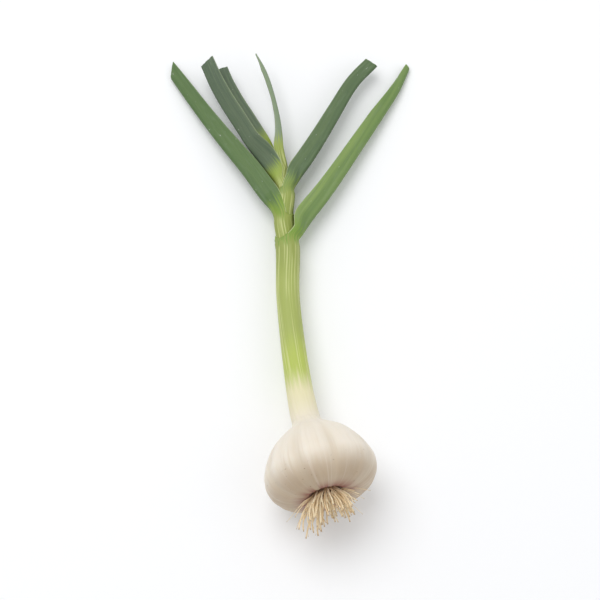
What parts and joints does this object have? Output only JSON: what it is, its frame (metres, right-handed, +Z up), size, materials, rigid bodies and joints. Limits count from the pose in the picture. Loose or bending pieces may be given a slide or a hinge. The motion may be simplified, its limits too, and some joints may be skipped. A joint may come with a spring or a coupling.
{
  "type": "fresh garlic bulb",
  "caption": "Fresh garlic lying on its side: a round white bulb with trimmed roots, a green stem of nested leaf sheaths, and folded leaves cut short.",
  "frame": {"origin": "centre of the small flat spot that the bulb rests on", "axes": "+Y from the bulb along the stem towards the leaves, +Z up from the surface that the plant lies on, +X to the right when looking along +Y with +Z up"},
  "size_m": [0.1359, 0.2812, 0.0598],
  "materials": {
    "bulb": "smooth, thin papery skin",
    "root_plate": "rough corky disc",
    "root": "soft dry fibre",
    "stem_and_leaf": "smooth and slightly waxy, pale where it meets the bulb",
    "leaf": "smooth and slightly waxy"
  },
  "bodies": {
    "root": {"bulb": "bulb", "root_plate": "root_plate", "root_01": "root", "root_02": "root", "root_03": "root", "root_04": "root", "root_05": "root", "root_06": "root", "root_07": "root", "root_08": "root", "root_09": "root", "root_10": "root", "root_11": "root", "root_12": "root", "root_13": "root", "root_14": "root", "root_15": "root", "root_16": "root", "root_17": "root", "root_18": "root", "root_19": "root", "root_20": "root", "root_21": "root", "root_22": "root", "root_23": "root", "root_24": "root", "root_25": "root", "root_26": "root", "root_27": "root", "root_28": "root", "root_29": "root", "root_30": "root", "root_31": "root", "root_32": "root", "root_33": "root", "root_34": "root", "root_35": "root", "root_36": "root", "root_37": "root", "root_38": "root", "root_39": "root", "root_40": "root", "leaf_1_with_stem": "stem_and_leaf", "leaf_2": "leaf", "leaf_3": "leaf", "leaf_4": "leaf", "leaf_5_young": "leaf"}
  },
  "joints": []
}
